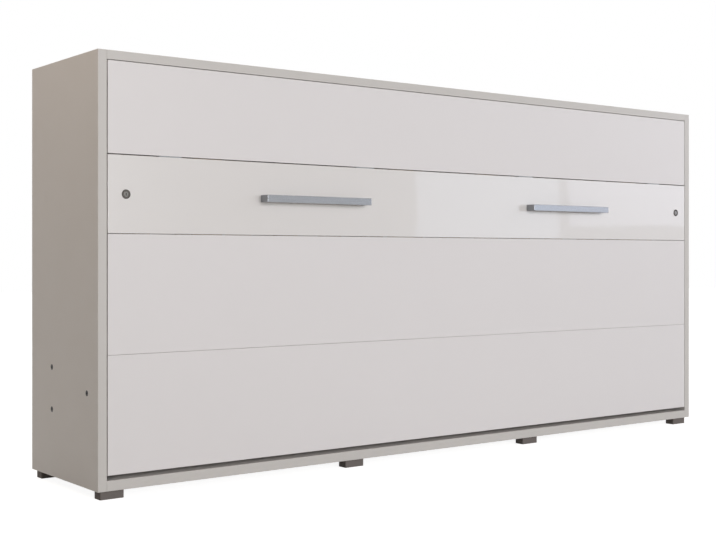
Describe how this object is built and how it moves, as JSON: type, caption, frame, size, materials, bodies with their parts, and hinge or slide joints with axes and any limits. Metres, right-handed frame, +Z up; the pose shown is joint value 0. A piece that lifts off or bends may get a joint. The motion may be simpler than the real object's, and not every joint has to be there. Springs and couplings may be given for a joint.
{
  "type": "cabinet bed",
  "caption": "Low white cabinet whose front folds down as a single bed lying along the wall, with a glossy band that swings out as its leg, bar handles and round locks.",
  "frame": {"origin": "on the floor, under the middle of the closed cabinet measured over its handles", "axes": "+X along the cabinet, +Y towards the wall, +Z up; the front looks along -Y"},
  "size_m": [2.13, 0.418, 1.03],
  "materials": {
    "matte_melamine": "matte white melamine on chipboard, fine grain, slightly warm",
    "gloss_front": "high-gloss white lacquered foil on chipboard",
    "frame_board": "plain white melamine on chipboard",
    "beech_slat": "planed beech, clear",
    "pine_batten": "planed spruce, untreated",
    "back_board": "white-faced thin hardboard, bare fibre at the rear",
    "white_plastic": "moulded white plastic",
    "dark_plastic": "moulded dark grey plastic, satin",
    "black_rubber": "black rubber",
    "satin_aluminium": "satin anodised aluminium",
    "zinc_steel": "zinc-plated steel",
    "dark_steel": "blackened steel",
    "black_enamel": "black enamelled steel tube",
    "hard_chrome": "polished hard chrome",
    "nickel_lock": "nickel-plated, brushed face",
    "ticking": "quilted knitted mattress cover",
    "webbing": "woven black webbing"
  },
  "bodies": {
    "cabinet": {"side_panel_left": "matte_melamine", "side_panel_right": "matte_melamine", "top_panel": "matte_melamine", "bottom_panel": "matte_melamine", "back_panel_left": "back_board", "back_panel_right": "back_board", "back_joint_profile": "white_plastic", "rear_rail_lower": "matte_melamine", "rear_rail_upper": "matte_melamine", "wall_plates": "zinc_steel", "front_feet": "dark_plastic", "rear_feet": "dark_plastic", "foot_screws": "zinc_steel", "corner_fittings": "zinc_steel", "corner_dowels": "pine_batten", "cabinet_bracket_left": "zinc_steel", "cabinet_bracket_right": "zinc_steel", "pivot_bolts": "dark_steel", "bracket_bolts": "dark_steel", "strut_upper_studs": "zinc_steel", "stop_pins": "zinc_steel", "stop_sleeves": "black_rubber", "closed_stops": "white_plastic", "lock_strikes": "zinc_steel", "cabinet_screws": "zinc_steel"},
    "bed": {"front_board_lower": "matte_melamine", "front_board_middle": "matte_melamine", "front_board_upper": "matte_melamine", "bed_rail_near": "frame_board", "bed_rail_far": "frame_board", "bed_end_left": "frame_board", "bed_end_right": "frame_board", "cross_battens": "pine_batten", "slat_ledgers": "pine_batten", "slats": "beech_slat", "bed_screws": "zinc_steel", "bed_bracket_left": "zinc_steel", "bed_bracket_right": "zinc_steel", "pivot_bushes": "white_plastic", "strut_lower_studs": "zinc_steel", "hinge_leaves_fixed": "zinc_steel", "hinge_pins": "zinc_steel", "mattress": "ticking", "mattress_straps": "webbing"},
    "leg": {"hinge_leaves_moving": "zinc_steel", "leg_panel": "gloss_front", "handle_left": "satin_aluminium", "handle_right": "satin_aluminium", "leg_screws": "zinc_steel", "lock_housings": "dark_steel"},
    "lock_left": {"lock_cylinder_left": "nickel_lock", "lock_cam_left": "zinc_steel"},
    "lock_right": {"lock_cylinder_right": "nickel_lock", "lock_cam_right": "zinc_steel"},
    "strut_tube_left": {"strut_tube_left": "black_enamel"},
    "strut_tube_right": {"strut_tube_right": "black_enamel"},
    "strut_rod_left": {"strut_rod_left": "hard_chrome"},
    "strut_rod_right": {"strut_rod_right": "hard_chrome"}
  },
  "joints": [
    {"name": "bed_fold", "type": "hinge", "parent": "cabinet", "child": "bed", "pos_m": [0, -0.117, 0.241], "axis": [1, 0, 0], "range_deg": [0, 90]},
    {"name": "leg_fold", "type": "hinge", "parent": "bed", "child": "leg", "pos_m": [0, -0.17595, 0.7926], "axis": [-1, 0, 0], "range_deg": [0, 90]},
    {"name": "lock_left_turn", "type": "hinge", "parent": "leg", "child": "lock_left", "pos_m": [-0.995, -0.177, 0.70103], "axis": [0, 1, 0], "range_deg": [0, 90]},
    {"name": "lock_right_turn", "type": "hinge", "parent": "leg", "child": "lock_right", "pos_m": [0.995, -0.177, 0.70103], "axis": [0, -1, 0], "range_deg": [0, 90]},
    {"name": "strut_left_swing", "type": "hinge", "parent": "cabinet", "child": "strut_tube_left", "pos_m": [-1.032, -0.007, 0.446], "axis": [1, 0, 0], "range_deg": [0, 18.82]},
    {"name": "strut_left_slide", "type": "slide", "parent": "strut_tube_left", "child": "strut_rod_left", "axis": [0, 0.3661, 0.9306], "range_m": [0, 0.11258]},
    {"name": "strut_right_swing", "type": "hinge", "parent": "cabinet", "child": "strut_tube_right", "pos_m": [1.032, -0.007, 0.446], "axis": [1, 0, 0], "range_deg": [0, 18.82]},
    {"name": "strut_right_slide", "type": "slide", "parent": "strut_tube_right", "child": "strut_rod_right", "axis": [0, 0.3661, 0.9306], "range_m": [0, 0.11258]}
  ],
  "couplings": [
    {"joint": "strut_left_swing", "follows": "bed_fold", "ratio": 0.20904},
    {"joint": "strut_left_slide", "follows": "bed_fold", "m_per_rad": 0.071636},
    {"joint": "strut_right_swing", "follows": "bed_fold", "ratio": 0.20904},
    {"joint": "strut_right_slide", "follows": "bed_fold", "m_per_rad": 0.071636}
  ]
}
